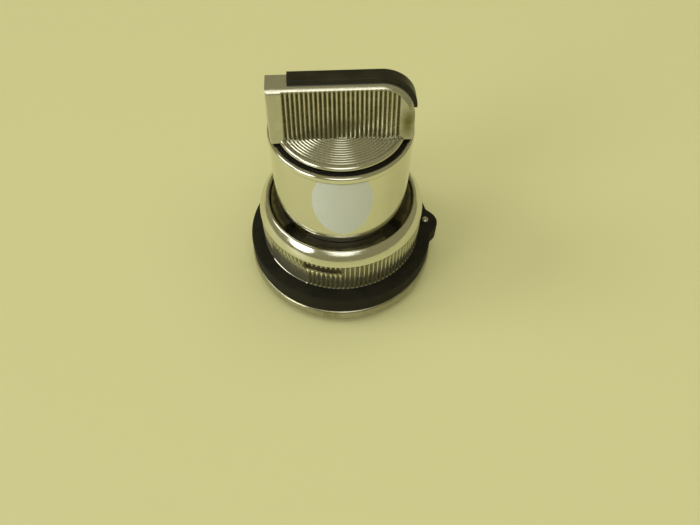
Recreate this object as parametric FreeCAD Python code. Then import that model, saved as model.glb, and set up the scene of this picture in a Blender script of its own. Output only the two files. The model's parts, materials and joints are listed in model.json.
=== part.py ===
import FreeCAD, Part
import math
import os

# Selector switch operator for a 30 mm class panel hole, with a winged lever knob.
# Millimetres. The origin is the middle of the rear face. +Z runs up through the
# knob, and +X is the way the knob points at its centre position.

os.makedirs("parts", exist_ok=True)
V = FreeCAD.Vector
Z_AXIS = V(0, 0, 1)

# ---- Heights of the stack, from the rear face up ----
foot_height = 1.5
flange_height = 2.6
gasket_height = 4.4
nut_height = 11.2
neck_recess = 0.5            # neck top below the nut's top
sleeve_gap = 1.3             # nut top to the sleeve's lower edge
sleeve_height = 17.4
disc_proud = 1.0             # knob disc above the sleeve's rim
bar_height = 9.2
insert_proud = 1.0

# ---- Radii of the housing ----
thread_radius = 15.0
neck_wall = 2.1
flange_width = 5.4
foot_setback = 1.9
flange_rim_radius = 0.9      # rounding of the flange's upper edge
gasket_setback = 0.3
nut_wall = 2.9
sleeve_step = 1.32           # thread to the sleeve's outside
sleeve_wall = 0.68
shank_wall = 1.5
sleeve_foot_land = 0.1       # flat left under the sleeve's rounded foot
sleeve_rim_land = 0.2        # flat left on top of the sleeve's rounded rim
ledge_width = 0.9            # ledge in the neck that the guide plate sits on

# ---- Clearances ----
press_gap = 0.02
running_gap = 0.05
thread_gap = 0.06
face_gap = 0.05

# ---- Neck, gasket and locating pin ----
notch_count = 4
notch_width = 5.2
notch_depth = 2.2
lug_angle = 1.0
lug_radius = 3.3
lug_reach = 1.7              # past the gasket's edge
pin_radius = 0.8
pin_inset = 1.4              # pin centre inside the flange's edge
pin_proud = 0.8
tab_half_width = 1.0         # tab that keeps the guide plate from turning
tab_reach = 0.7              # tab past the neck's bore
tab_root = 1.0               # tab inside the neck's bore
key_width = 3.0
key_depth = 1.0
key_gap = 0.1

# ---- Ring nut and its washer ----
nut_washer_thickness = 0.8
nut_rim_wall = 1.0           # nut wall outside the washer's recess
nut_washer_gap = 0.1
knurl_count = 110
knurl_depth = 0.4
knurl_height = 7.8
nut_lip_wall = 0.45
nut_step_height = 0.4        # slope from the knurl to the smooth shoulder
nut_shoulder_rise = 1.6      # shoulder's turning point above the knurl
nut_shoulder_inset = 0.4     # shoulder's turning point inside its foot
nut_lip_round = 0.35         # outer side of the rounded lip
nut_lip_drop = 0.3
nut_lip_crest = 0.1
spanner_slot_angle = -107.0
spanner_slot_sweep = 28.0
spanner_slot_depth = 0.7
spanner_slot_height = 1.5

# ---- Rear cover, its screws and the contact block screws ----
boss_height = 1.9
screw_first_angle = 35.0
screw_radius = 1.0
screw_head_radius = 1.9
screw_head_height = 1.1
screw_bite = 2.1
driver_slot_half_width = 0.25
driver_slot_depth = 0.5
block_screw_radius = 1.5
block_screw_bite = 2.3
block_screw_step = 0.6       # block screws' circle outside the thread
block_spigot_gap = 0.6

# ---- Cam, plungers and return springs ----
cam_space = 8.1
cam_top_gap = 0.3
cam_mean_thickness = 3.6
cam_edge_gap = 1.8
cam_hub_gap = 0.2            # cam hub to the plungers' collars
plunger_inset = 4.0          # plunger axis inside the cam chamber's wall
plunger_travel = 1.5         # for the knob's 45 degrees
plunger_radius = 1.6
plunger_dome_radius = 2.0
plunger_lift_gap = 0.12      # dome's top below the cam face
plunger_recess = 0.3
collar_radius = 2.6
collar_height = 1.0
pocket_gap = 0.15
pocket_floor = 1.2
spring_wire_radius = 0.2
spring_turns = 2.5
spring_length = 2.5

# ---- Index mechanism ----
index_angle = 45.0
cam_ramp_angle = 60.0
plate_thickness = 2.5
wheel_thickness = 3.0
wheel_headroom = 3.0
wheel_gap = 0.3
notch_root_depth = 0.8
detent_gap = 0.1
leaf_thickness = 0.4
leaf_half_length = 6.0
leaf_bump_half_width = 1.8
lug_wall = 0.65
lug_length = 1.6
lug_step = 0.6
stop_pin_share = 0.31        # stop pin's radius over the space from spacer to notches

# ---- Shaft, bushing and hub ----
shaft_radius = 4.0
flat_depth = 0.7
spacer_wall = 0.85
floor_thickness = 3.0
bushing_wall = 2.0
bushing_flange = 1.5
bushing_overhang = 0.7
washer_thickness = 0.7
washer_play = 0.1
hub_wall = 2.0
hub_length = 4.0
socket_depth = 5.4
cross_pin_radius = 1.0
cross_pin_setback = 0.1      # pin's ends inside the hub's surface
clip_thickness = 0.7
clip_groove_depth = 0.8
clip_wall = 1.9
clip_drop = 0.05
clip_opening = 5.0
clip_side_gap = 0.01
shaft_tip = 0.65

# ---- Knob ----
disc_gap = 0.8               # disc to the sleeve's bore
disc_thickness = 3.4
disc_edge_radius = 0.7       # rounded edge of the disc's face
seal_height = 1.2
seal_top_drop = 1.6
seal_bite = 0.6
groove_pitch = 0.58
groove_depth = 0.18
bar_end = 13.0
bar_foot_gap = 0.4           # under the bar's ends, to the rim
bar_foot_half = 4.7
bar_top_half = 2.35
bar_nose_radius = 6.0
bar_corner_reach = 0.55      # upright corners are trimmed this far past the ends
rib_count = 26
rib_pitch = 0.8
rib_width = 0.62
rib_depth = 0.34
rib_margin = 1.0
insert_width = 2.6
insert_start = -9.2
insert_bite = 1.2
insert_tail_height = 4.0     # tail's end above the disc
insert_tail_thinning = 0.6   # share of the proud height lost at the tail

# ---- Label ----
label_angle = -91.5
label_half_width = 5.8
label_half_height = 8.5
label_thickness = 0.1
label_rise = 10.65           # label's middle above the sleeve's lower edge
label_headroom = 1.1         # label's cut top edge below the rim

# ---- Cutting tools ----
past = 1.0                   # how far a cutting tool runs past a face
skim = 0.01                  # how far a fine groove's tool starts outside a face

# ---- Levels worked out from the heights ----
z_flange = foot_height
z_gasket = z_flange + flange_height
z_nut = z_gasket + gasket_height
z_nut_top = z_nut + nut_height
z_neck_top = z_nut_top - neck_recess
z_sleeve = z_nut_top + sleeve_gap
z_rim = z_sleeve + sleeve_height
z_disc = z_rim + disc_proud
z_bar = z_disc + bar_height
z_insert = z_bar + insert_proud
z_boss = foot_height + boss_height
z_ledge = z_boss + cam_space
z_plate = z_ledge + plate_thickness
z_disc_under = z_disc - disc_thickness
z_hub = z_disc_under - hub_length
z_thrust = z_hub - washer_play - washer_thickness
z_floor = z_thrust - washer_thickness
z_floor_under = z_floor - floor_thickness
z_wheel_top = z_floor_under - wheel_headroom
z_wheel = z_wheel_top - wheel_thickness
z_cam_top = z_ledge - cam_top_gap
z_cam_face = z_cam_top - cam_mean_thickness
cam_rise = plunger_travel / math.radians(index_angle)
z_cam_low = z_cam_face - cam_rise * math.radians(cam_ramp_angle)
z_dome = z_cam_face - plunger_lift_gap
z_shaft_end = z_cam_low - clip_drop - clip_thickness - shaft_tip
z_pocket = pocket_floor
z_collar = z_pocket + spring_length

# ---- Radii worked out from the thread ----
neck_bore = thread_radius - neck_wall
chamber_bore = neck_bore - ledge_width
flange_radius = thread_radius + flange_width
foot_radius = flange_radius - foot_setback
gasket_radius = flange_radius - gasket_setback
nut_radius = thread_radius + nut_wall
nut_bore = thread_radius + thread_gap
sleeve_radius = thread_radius - sleeve_step
sleeve_bore = sleeve_radius - sleeve_wall
shank_radius = neck_bore - press_gap
shank_bore = shank_radius - shank_wall
disc_radius = sleeve_bore - disc_gap
plunger_offset = chamber_bore - plunger_inset
cam_radius = chamber_bore - cam_edge_gap
spacer_radius = shaft_radius + press_gap + spacer_wall
flat_offset = shaft_radius - flat_depth
screw_circle = (thread_radius + foot_radius) / 2
block_screw_circle = thread_radius + block_screw_step
lug_outer_y = math.sqrt((shank_bore - face_gap) ** 2 - leaf_half_length ** 2)
leaf_outer_y = lug_outer_y - lug_wall
leaf_inner_y = leaf_outer_y - leaf_thickness
wheel_radius = leaf_inner_y - wheel_gap
notch_root = wheel_radius - notch_root_depth
stop_circle = (spacer_radius + notch_root) / 2
stop_pin_radius = (notch_root - spacer_radius) * stop_pin_share


def polar(radius, degrees, z=0.0):
    """A point at a radius and an angle round the Z axis."""
    angle = math.radians(degrees)
    return V(radius * math.cos(angle), radius * math.sin(angle), z)


def cylinder(radius, z_low, z_high, centre=V(0, 0, 0)):
    """An upright cylinder between two levels."""
    base = V(centre.x, centre.y, z_low)
    return Part.makeCylinder(radius, z_high - z_low, base, Z_AXIS)


def tube(inner, outer, z_low, z_high, centre=V(0, 0, 0)):
    """An upright ring of rectangular section."""
    hole = cylinder(inner, z_low - past, z_high + past, centre)
    return cylinder(outer, z_low, z_high, centre).cut(hole)


def block(x_low, x_high, y_low, y_high, z_low, z_high):
    """A box between two corners."""
    corner = V(x_low, y_low, z_low)
    return Part.makeBox(x_high - x_low, y_high - y_low, z_high - z_low, corner)


def turned(shape, degrees):
    """A copy of a shape turned round the Z axis."""
    copy = shape.copy()
    copy.rotate(V(0, 0, 0), Z_AXIS, degrees)
    return copy


def outline(start, *steps):
    """A closed wire in the XZ plane. A step is (x, z) for a straight run, or
    (middle x, middle z, x, z) for an arc through a middle point."""
    here = V(start[0], 0, start[1])
    first = here
    edges = []
    for step in steps:
        there = V(step[-2], 0, step[-1])
        if len(step) == 4:
            middle = V(step[0], 0, step[1])
            edges.append(Part.Arc(here, middle, there).toShape())
        else:
            edges.append(Part.LineSegment(here, there).toShape())
        here = there
    edges.append(Part.LineSegment(here, first).toShape())
    return Part.Wire(edges)


def revolved(start, *steps):
    """A solid of revolution about the Z axis from an outline of (radius, z)."""
    return Part.Face(outline(start, *steps)).revolve(V(0, 0, 0), Z_AXIS, 360)


def corner_arc(x, z, radius, x_side, z_side):
    """The middle and end of a quarter round at an outer corner (x, z). The arc
    ends on the line x; x_side and z_side point from the centre to the corner."""
    share = radius * (1 - math.sqrt(0.5))
    middle = (x - x_side * share, z - z_side * share)
    return middle + (x, z - z_side * radius)


def save(node, shape):
    """Write one sub-part and print its volume."""
    shape = shape.removeSplitter()
    shape.exportStep("parts/" + node + ".step")
    note = "" if shape.isValid() else "  NOT VALID"
    print("%-22s solids %d  volume %9.2f%s" % (node, len(shape.Solids), shape.Volume, note))


def screw_angles():
    """Angles of the cover screws, two on each side of the Y axis."""
    first = screw_first_angle
    return [first, 180 - first, 180 + first, 360 - first]


def plunger_points():
    """The plungers' axes, left then right."""
    return {"left": V(-plunger_offset, 0, 0), "right": V(plunger_offset, 0, 0)}


def keyway(radius, width, depth, z_low, z_high):
    """A block that cuts, or fills, a keyway in the neck's thread at the lug."""
    key = block(radius - depth, radius + depth, -width / 2, width / 2, z_low, z_high)
    return turned(key, lug_angle)


# ---- Housing ----

def rear_cover():
    """Moulded cover under the flange. It guides the plungers and holds their springs."""
    body = cylinder(foot_radius, 0, foot_height)
    body = body.fuse(cylinder(chamber_bore - face_gap, foot_height, z_boss))
    cuts = []
    for point in plunger_points().values():
        cuts.append(cylinder(plunger_radius + running_gap, -1, z_boss + 1, point))
        cuts.append(cylinder(collar_radius + pocket_gap, z_pocket, z_boss + 1, point))
    for angle in screw_angles():
        point = polar(screw_circle, angle)
        head = Part.makeCone(screw_head_radius + face_gap, screw_radius + face_gap,
                             screw_head_height, point, Z_AXIS)
        cuts.append(head)
        cuts.append(cylinder(screw_radius + face_gap, 0, foot_height + 1, point))
    for side in (90, -90):
        spigot = block_screw_radius + block_spigot_gap
        cuts.append(cylinder(spigot, -1, foot_height + 1, polar(block_screw_circle, side)))
    return body.cut(Part.makeCompound(cuts))


def rear_body():
    """Plated die-cast body: round flange, and a neck that the ring nut screws on."""
    rim = flange_rim_radius
    top_rim = corner_arc(flange_radius, z_gasket, rim, 1, 1)
    body = revolved((chamber_bore, z_flange),
                    (flange_radius - rim / 2, z_flange),
                    (flange_radius, z_flange + rim / 2),
                    (flange_radius, z_gasket - rim),
                    (top_rim[0], top_rim[1], flange_radius - rim, z_gasket),
                    (thread_radius, z_gasket),
                    (thread_radius, z_neck_top),
                    (neck_bore, z_neck_top),
                    (neck_bore, z_ledge),
                    (chamber_bore, z_ledge))
    cuts = []
    for index in range(notch_count):
        notch = block(neck_bore - 1, thread_radius + 1, -notch_width / 2, notch_width / 2,
                      z_neck_top - notch_depth, z_neck_top + 1)
        cuts.append(turned(notch, 360 / notch_count * (index + 0.5)))
    cuts.append(keyway(thread_radius, key_width, key_depth, z_gasket, z_neck_top + 1))
    for angle in screw_angles():
        cuts.append(cylinder(screw_radius, z_flange - 1, z_flange + screw_bite + face_gap,
                             polar(screw_circle, angle)))
    for side in (90, -90):
        cuts.append(cylinder(block_screw_radius, z_flange - 1, z_flange + block_screw_bite,
                             polar(block_screw_circle, side)))
    cuts.append(cylinder(pin_radius, z_flange + rim, z_gasket + 1, pin_point()))
    cuts.append(plate_tab(key_gap))
    return body.cut(Part.makeCompound(cuts))


def pin_point():
    """Where the locating pin stands on the flange."""
    return polar(flange_radius - pin_inset, lug_angle)


def plate_tab(gap):
    """Tab on the guide plate's rim that keeps it from turning, or its slot."""
    half = tab_half_width + gap
    reach = neck_bore + tab_reach + gap
    return block(-reach, tab_root - neck_bore, -half, half, z_ledge, z_plate + gap)


def gasket():
    """Rubber gasket with one round lug over the locating pin."""
    lug_centre = polar(gasket_radius + lug_reach - lug_radius, lug_angle)
    body = cylinder(gasket_radius, z_gasket, z_nut)
    body = body.fuse(cylinder(lug_radius, z_gasket, z_nut, lug_centre))
    body = body.cut(cylinder(thread_radius + face_gap, z_gasket - 1, z_nut + 1))
    return body.cut(cylinder(pin_radius + face_gap, z_gasket - 1, z_nut + 1, pin_point()))


def locating_pin():
    """Round-ended pin pressed in the flange, for the notch of the panel hole."""
    foot = z_flange + flange_rim_radius
    top = z_nut + pin_proud
    pin = cylinder(pin_radius, foot, top - pin_radius, pin_point())
    dome = Part.makeSphere(pin_radius, V(pin_point().x, pin_point().y, top - pin_radius))
    return pin.fuse(dome)


def cover_screws():
    """Countersunk screws that hold the rear cover to the flange."""
    screws = []
    for angle in screw_angles():
        point = polar(screw_circle, angle)
        head = Part.makeCone(screw_head_radius, screw_radius, screw_head_height, point, Z_AXIS)
        shank = cylinder(screw_radius, 0, z_flange + screw_bite, point)
        screw = head.fuse(shank)
        half = driver_slot_half_width
        slot = block(-screw_head_radius, screw_head_radius, -half, half, -past,
                     driver_slot_depth)
        slot = turned(slot, angle)
        slot.translate(point)
        screws.append(screw.cut(slot))
    return Part.makeCompound(screws)


def bezel_sleeve():
    """Polished sleeve round the knob. Its shank is pressed in the neck, and its floor
    carries the shaft's bushing."""
    foot = sleeve_radius - shank_radius - sleeve_foot_land
    rim = sleeve_wall - sleeve_rim_land
    foot_arc = corner_arc(sleeve_radius, z_sleeve, foot, 1, -1)
    rim_arc = corner_arc(sleeve_radius, z_rim, rim, 1, 1)
    return revolved((shank_bore, z_plate),
                    (shank_radius, z_plate),
                    (shank_radius, z_sleeve),
                    (sleeve_radius - foot, z_sleeve),
                    foot_arc,
                    (sleeve_radius, z_rim - rim),
                    (rim_arc[0], rim_arc[1], sleeve_radius - rim, z_rim),
                    (sleeve_bore, z_rim),
                    (sleeve_bore, z_floor),
                    (bushing_outer() + press_gap, z_floor),
                    (bushing_outer() + press_gap, z_floor_under),
                    (shank_bore, z_floor_under))


def bushing_outer():
    """Outside radius of the shaft's upper bushing."""
    return shaft_radius + running_gap + bushing_wall


def upper_bushing():
    """Flanged bronze bushing in the sleeve's floor."""
    bore = shaft_radius + running_gap
    return revolved((bore, z_floor_under - bushing_overhang),
                    (bushing_outer(), z_floor_under - bushing_overhang),
                    (bushing_outer(), z_floor),
                    (bushing_outer() + bushing_flange, z_floor),
                    (bushing_outer() + bushing_flange, z_thrust),
                    (bore, z_thrust))


def thrust_washer():
    """Plastic washer between the knob's hub and the bushing."""
    inner = shaft_radius + running_gap
    return tube(inner, bushing_outer() + 1, z_thrust, z_thrust + washer_thickness)


def guide_plate():
    """Plate on the neck's ledge: lower bearing, and four posts for the detent springs."""
    plate = cylinder(shank_radius, z_ledge, z_plate)
    plate = plate.fuse(plate_tab(0))
    for x_side in (-1, 1):
        for y_side in (-1, 1):
            xs = sorted([x_side * (leaf_half_length - lug_length), x_side * leaf_half_length])
            low = sorted([y_side * (leaf_inner_y - lug_step + leaf_thickness),
                          y_side * lug_outer_y])
            high = sorted([y_side * leaf_outer_y, y_side * lug_outer_y])
            post = block(xs[0], xs[1], low[0], low[1], z_plate - 1, z_wheel)
            post = post.fuse(block(xs[0], xs[1], high[0], high[1], z_wheel - 1, z_wheel_top))
            plate = plate.fuse(post)
    plate = plate.cut(cylinder(spacer_radius + running_gap, z_ledge - 1, z_plate + 1))
    return plate.cut(cylinder(stop_pin_radius, z_ledge - 1, z_plate + 1, polar(stop_circle, 0)))


def stop_pin():
    """Pin in the guide plate that ends the knob's turn both ways."""
    top = z_wheel_top - wheel_gap
    return cylinder(stop_pin_radius, z_ledge, top, polar(stop_circle, 0))


def detent_spring(side):
    """Leaf spring with a bump that drops in the index wheel's notches."""
    tip = notch_root + detent_gap
    half = leaf_bump_half_width
    wall = leaf_thickness
    points = [(-leaf_half_length, leaf_outer_y), (-half, leaf_outer_y), (0, tip + wall),
              (half, leaf_outer_y), (leaf_half_length, leaf_outer_y),
              (leaf_half_length, leaf_inner_y), (half - wall / 2, leaf_inner_y), (0, tip),
              (wall / 2 - half, leaf_inner_y), (-leaf_half_length, leaf_inner_y)]
    corners = [V(x, side * y, z_wheel) for x, y in points]
    strip = Part.Face(Part.makePolygon(corners + corners[:1]))
    return strip.extrude(V(0, 0, wheel_thickness))


def paper_label():
    """Oval paper label on the sleeve's front, cut off under the rim, with nothing on it."""
    wrap = tube(sleeve_radius, sleeve_radius + label_thickness, z_sleeve + 1,
                z_rim - label_headroom)
    middle = V(0, 0, z_sleeve + label_rise)
    tall = middle + V(0, 0, label_half_height)
    wide = middle + V(0, label_half_width, 0)
    oval = Part.Wire(Part.Ellipse(tall, wide, middle).toShape())
    punch = Part.Face(oval).extrude(V(2 * sleeve_radius, 0, 0))
    return wrap.common(turned(punch, label_angle))


def return_spring(point):
    """Coil spring under a plunger's collar."""
    coil_radius = collar_radius - spring_wire_radius - pocket_gap
    low = z_pocket + spring_wire_radius + face_gap
    rise = spring_length - 2 * (spring_wire_radius + face_gap)
    helix = Part.makeHelix(rise / spring_turns, rise, coil_radius)
    section = Part.Wire(Part.makeCircle(spring_wire_radius, V(coil_radius, 0, 0), V(0, 1, 0)))
    coil = Part.Wire(helix).makePipeShell([section], True, True)
    coil.translate(V(point.x, point.y, low))
    return coil


# ---- Ring nut ----

def nut_washer():
    """Keyed washer that stops the nut from dragging the gasket round."""
    outer = nut_radius - nut_rim_wall - nut_washer_gap
    top = z_nut + nut_washer_thickness
    washer = tube(thread_radius + thread_gap, outer, z_nut, top)
    key = keyway(thread_radius, key_width - 2 * key_gap, key_depth - key_gap, z_nut, top)
    return washer.fuse(key)


def ring_nut():
    """Knurled ring nut with a smooth shoulder that runs up to a rounded lip."""
    recess = nut_radius - nut_rim_wall
    z_recess = z_nut + nut_washer_thickness + face_gap
    z_knurl = z_nut + knurl_height
    lip = nut_bore + nut_lip_wall
    foot = nut_radius - knurl_depth
    body = revolved((nut_bore, z_recess),
                    (recess, z_recess),
                    (recess, z_nut),
                    (nut_radius, z_nut),
                    (nut_radius, z_knurl),
                    (foot, z_knurl + nut_step_height),
                    (foot - nut_shoulder_inset, z_knurl + nut_shoulder_rise,
                     lip + nut_lip_round, z_nut_top - nut_lip_drop),
                    (lip - nut_lip_crest, z_nut_top, nut_bore, z_nut_top - nut_lip_wall))
    points = []
    step = 360 / knurl_count
    for index in range(knurl_count):
        points.append(polar(nut_radius, index * step, z_nut - 1))
        points.append(polar(nut_radius - knurl_depth, (index + 0.5) * step, z_nut - 1))
    star = Part.Face(Part.makePolygon(points + points[:1]))
    body = body.common(star.extrude(V(0, 0, nut_height + 2)))
    slot = tube(nut_radius - spanner_slot_depth, nut_radius + 1,
                z_knurl - 1.5 * spanner_slot_height, z_knurl - 0.5 * spanner_slot_height)
    wedge = Part.makeCylinder(nut_radius + 2, nut_height, V(0, 0, z_nut), Z_AXIS,
                              spanner_slot_sweep)
    wedge = turned(wedge, spanner_slot_angle - spanner_slot_sweep / 2)
    return body.cut(slot.common(wedge))


# ---- Shaft and what turns with it ----

def flatted(z_low, z_high, gap):
    """The shaft's two-flat section, or the matching hole when a gap is given."""
    rod = cylinder(shaft_radius + gap, z_low, z_high)
    half = flat_offset + gap
    wide = 2 * shaft_radius
    return rod.common(block(-wide, wide, -half, half, z_low, z_high))


def shaft():
    """Steel shaft: round in the bushing, two flats below, and a clip groove."""
    z_flats = z_wheel_top
    z_groove = z_cam_low - clip_drop - clip_thickness
    rod = cylinder(shaft_radius, z_flats, z_hub + socket_depth)
    rod = rod.fuse(flatted(z_shaft_end, z_flats, 0))
    groove = tube(shaft_radius - clip_groove_depth, shaft_radius + 1, z_groove,
                  z_groove + clip_thickness)
    return rod.cut(groove).cut(cross_hole(press_gap))


def cross_hole(gap):
    """The pin's path through the hub and the shaft."""
    half = shaft_radius + hub_wall + 1
    z_pin = z_hub + hub_length / 2
    return Part.makeCylinder(cross_pin_radius + gap, 2 * half, V(0, -half, z_pin), V(0, 1, 0))


def cross_pin():
    """Pin that fixes the knob's hub to the shaft."""
    half = shaft_radius + hub_wall - cross_pin_setback
    z_pin = z_hub + hub_length / 2
    return Part.makeCylinder(cross_pin_radius, 2 * half, V(0, -half, z_pin), V(0, 1, 0))


def index_wheel():
    """Wheel with three notches on each side, and a curved slot for the stop pin."""
    wheel = cylinder(wheel_radius, z_wheel, z_wheel_top)
    wheel = wheel.cut(flatted(z_wheel - 1, z_wheel_top + 1, press_gap))
    cuts = []
    mouth = wheel_radius + past
    spread = leaf_bump_half_width * (mouth - notch_root) / notch_root_depth
    for middle in (90, -90):
        for turn in (-index_angle, 0, index_angle):
            corners = [V(notch_root, 0, z_wheel - 1), V(mouth, spread, z_wheel - 1),
                       V(mouth, -spread, z_wheel - 1)]
            notch = Part.Face(Part.makePolygon(corners + corners[:1]))
            notch = notch.extrude(V(0, 0, wheel_thickness + 2))
            cuts.append(turned(notch, middle + turn))
    half_slot = stop_pin_radius + running_gap
    arc = tube(stop_circle - half_slot, stop_circle + half_slot, z_wheel - 1, z_wheel_top + 1)
    wedge = Part.makeCylinder(2 * wheel_radius, wheel_thickness + 2, V(0, 0, z_wheel - 1),
                              Z_AXIS, 2 * index_angle)
    cuts.append(arc.common(turned(wedge, -index_angle)))
    for turn in (-index_angle, index_angle):
        cuts.append(cylinder(half_slot, z_wheel - 1, z_wheel_top + 1, polar(stop_circle, turn)))
    for cut in cuts:
        wheel = wheel.cut(cut)
    return wheel


def spacer_sleeve():
    """Tube that holds the wheel off the cam and turns in the guide plate."""
    return tube(shaft_radius + press_gap, spacer_radius, z_cam_top, z_wheel)


def cam_half():
    """Half of the cam, from -90 to 90 degrees. Its underside climbs evenly with the
    angle inside the ramp and is level outside it."""
    steps = 24
    inner = shaft_radius
    outer = cam_radius + 2
    sections = []
    for index in range(steps + 1):
        angle = -90 + 180 * index / steps
        ramp = max(-cam_ramp_angle, min(cam_ramp_angle, angle))
        z_low = z_cam_face + cam_rise * math.radians(ramp)
        corners = [polar(inner, angle, z_low), polar(outer, angle, z_low),
                   polar(outer, angle, z_cam_top), polar(inner, angle, z_cam_top)]
        sections.append(Part.makePolygon(corners + corners[:1]))
    return Part.makeLoft(sections, True, True)


def operating_cam():
    """Face cam on the shaft. One plunger goes down as the other comes up."""
    half = cam_half()
    other = half.mirror(V(0, 0, 0), V(1, 0, 0))
    hub_radius = plunger_offset - collar_radius - cam_hub_gap
    cam = half.fuse(other)
    cam = cam.common(cylinder(cam_radius, z_cam_low - 1, z_cam_top + 1))
    cam = cam.fuse(cylinder(hub_radius, z_cam_low, z_cam_top))
    return cam.cut(flatted(z_cam_low - 1, z_cam_top + 1, press_gap))


def retaining_ring():
    """Clip in the shaft's groove under the cam."""
    inner = shaft_radius - clip_groove_depth + press_gap
    top = z_cam_low - clip_drop
    ring = tube(inner, inner + clip_wall, top - clip_thickness + clip_side_gap,
                top - clip_side_gap)
    half = clip_opening / 2
    return ring.cut(block(0, inner + clip_wall + 1, -half, half, top - 2, top + 1))


def plunger(point):
    """Round-ended plunger with a collar for its spring."""
    centre = V(point.x, point.y, 0)
    z_round = z_dome - plunger_dome_radius
    ball = Part.makeSphere(plunger_dome_radius, V(point.x, point.y, z_round))
    cap = cylinder(plunger_radius, z_round, z_dome + 1, centre).common(ball)
    rod = cylinder(plunger_radius, plunger_recess, z_round, centre).fuse(cap)
    return rod.fuse(cylinder(collar_radius, z_collar, z_collar + collar_height, centre))


# ---- Knob ----

def bar_side_outline(grow, end_x):
    """The bar's side view: square at the left, a large round at the pointer end."""
    left = -bar_end - grow
    right = end_x + grow
    top = z_bar + grow
    radius = bar_nose_radius + grow
    arc = corner_arc(right, top, radius, 1, 1)
    foot = z_rim + bar_foot_gap
    return outline((left, foot), (left, top), (right - radius, top), arc, (right, foot))


def knob_bar():
    """The ribbed bar: its side view cut to a cross-section that narrows upwards."""
    deep = 2 * bar_foot_half
    side = Part.Face(bar_side_outline(0, bar_end)).extrude(V(0, 2 * deep, 0))
    side.translate(V(0, -deep, 0))
    slope = (bar_foot_half - bar_top_half) / bar_height
    foot = z_rim
    foot_half = bar_foot_half + slope * (z_disc - foot)
    corners = [V(-2 * bar_end, -foot_half, foot), V(-2 * bar_end, foot_half, foot),
               V(-2 * bar_end, bar_top_half, z_bar), V(-2 * bar_end, -bar_top_half, z_bar)]
    wedge = Part.Face(Part.makePolygon(corners + corners[:1])).extrude(V(4 * bar_end, 0, 0))
    bar = side.common(wedge)
    round_ends = cylinder(bar_end + bar_corner_reach, z_rim, z_bar + past)
    return bar.common(round_ends)


def rib_cutters():
    """Vee grooves down both faces of the bar."""
    slope = math.atan2(bar_foot_half - bar_top_half, bar_height)
    run = (bar_height - rib_margin) / math.cos(slope)
    cutters = []
    for index in range(rib_count):
        x = (index - (rib_count - 1) / 2) * rib_pitch
        corners = [V(x - rib_width / 2, -skim, 0), V(x + rib_width / 2, -skim, 0),
                   V(x, rib_depth, 0)]
        vee = Part.Face(Part.makePolygon(corners + corners[:1])).extrude(V(0, 0, run))
        vee.rotate(V(0, 0, 0), V(1, 0, 0), -math.degrees(slope))
        vee.translate(V(0, -bar_foot_half, z_disc))
        cutters.append(vee)
        cutters.append(turned(vee, 180))
    return Part.makeCompound(cutters)


def disc_grooves():
    """Fine rings turned in the disc's top face."""
    rings = []
    count = int((disc_radius - disc_edge_radius) / groove_pitch)
    for index in range(1, count + 1):
        r = index * groove_pitch
        rings.append(revolved((r - groove_pitch / 3, z_disc + skim),
                              (r, z_disc - groove_depth),
                              (r + groove_pitch / 3, z_disc + skim)))
    return Part.makeCompound(rings)


def selector_knob():
    """Plated lever knob: hub, disc with its seal groove, and the ribbed bar."""
    seal_top = z_disc - seal_top_drop
    edge = corner_arc(disc_radius, z_disc, disc_edge_radius, 1, 1)
    disc = revolved((0, z_disc_under), (disc_radius, z_disc_under),
                    (disc_radius, z_disc - disc_edge_radius),
                    (edge[0], edge[1], disc_radius - disc_edge_radius, z_disc),
                    (0, z_disc))
    disc = disc.cut(disc_grooves())
    disc = disc.cut(tube(disc_radius - seal_bite, disc_radius + 1, seal_top - seal_height,
                         seal_top))
    hub = cylinder(shaft_radius + hub_wall, z_hub, z_disc_under + 1)
    bar = knob_bar().cut(rib_cutters())
    knob = disc.fuse(hub).fuse(bar)
    socket = cylinder(shaft_radius + press_gap, z_hub - 1, z_hub + socket_depth)
    return knob.cut(socket).cut(cross_hole(press_gap)).cut(knob_insert_shape(press_gap))


def knob_insert_shape(gap):
    """The strip's shape: the band between the bar's side view, grown and shrunk."""
    tail = z_disc + insert_tail_height
    half = insert_width / 2 + gap
    tail_end = bar_end - insert_proud * insert_tail_thinning
    outer = Part.Face(bar_side_outline(insert_proud, tail_end))
    inner = Part.Face(bar_side_outline(-insert_bite - gap, bar_end))
    band = outer.cut(inner).extrude(V(0, 2 * half, 0))
    band.translate(V(0, -half, 0))
    return band.common(block(insert_start - gap, 2 * bar_end, -half, half, tail - gap,
                             z_insert + 1))


def dirt_seal():
    """Rubber ring in the disc's groove that wipes the sleeve's bore."""
    seal_top = z_disc - seal_top_drop
    return tube(disc_radius - seal_bite + press_gap, sleeve_bore - running_gap,
                seal_top - seal_height, seal_top)


def build():
    """Make every node."""
    save("rear_cover", rear_cover())
    save("rear_body", rear_body())
    save("gasket", gasket())
    save("locating_pin", locating_pin())
    save("cover_screws", cover_screws())
    save("bezel_sleeve", bezel_sleeve())
    save("upper_bushing", upper_bushing())
    save("thrust_washer", thrust_washer())
    save("guide_plate", guide_plate())
    save("stop_pin", stop_pin())
    save("detent_spring_front", detent_spring(-1))
    save("detent_spring_rear", detent_spring(1))
    save("paper_label", paper_label())
    save("nut_washer", nut_washer())
    save("ring_nut", ring_nut())
    save("shaft", shaft())
    save("cross_pin", cross_pin())
    save("index_wheel", index_wheel())
    save("spacer_sleeve", spacer_sleeve())
    save("operating_cam", operating_cam())
    save("retaining_ring", retaining_ring())
    save("selector_knob", selector_knob())
    save("knob_insert", knob_insert_shape(0))
    save("dirt_seal", dirt_seal())
    for side, point in plunger_points().items():
        save("plunger_" + side, plunger(point))
        save("return_spring_" + side, return_spring(point))


build()
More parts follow.
